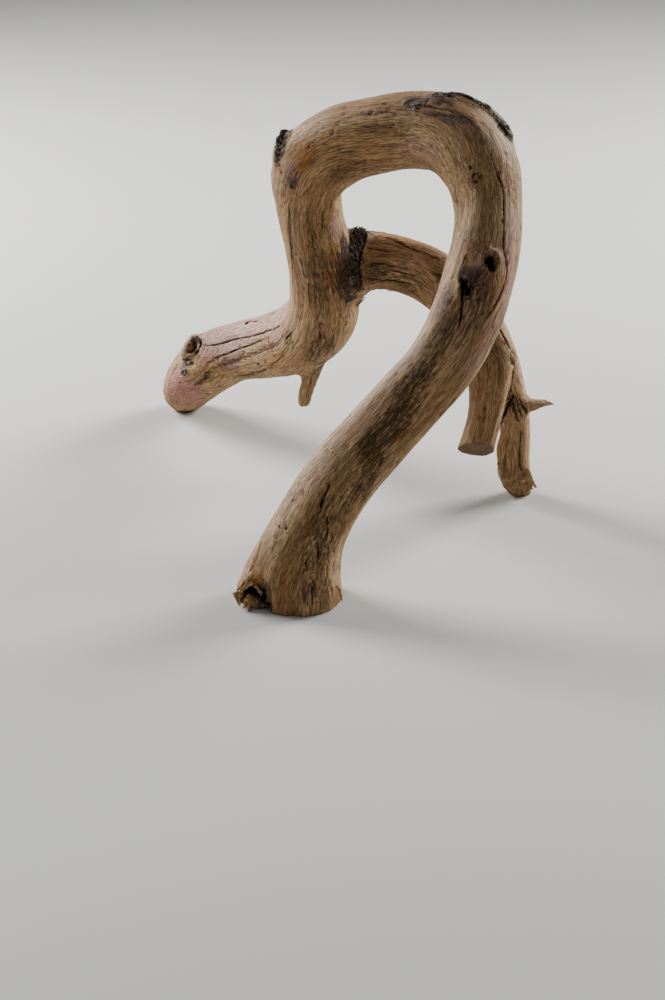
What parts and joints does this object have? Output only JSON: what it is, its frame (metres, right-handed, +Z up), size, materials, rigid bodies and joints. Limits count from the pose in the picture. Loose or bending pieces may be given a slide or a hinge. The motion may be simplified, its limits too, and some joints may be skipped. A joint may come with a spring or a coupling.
{
  "type": "dry root",
  "caption": "Bare, weathered piece of twisted root wood that loops over itself and stands on three feet, for display or decoration.",
  "frame": {"origin": "middle of the root's bounding box, on the surface that its three feet stand on", "axes": "+Z up, -Y towards the front foot and the viewer, +X towards the right foot and the spike"},
  "size_m": [0.2857, 0.4456, 0.3027],
  "materials": {
    "dry_wood": "dry bare wood, matt, grey-brown to tan with orange and black-brown stains, long cracks and bits of old bark"
  },
  "bodies": {
    "root": {"dry_root": "dry_wood"}
  },
  "joints": []
}
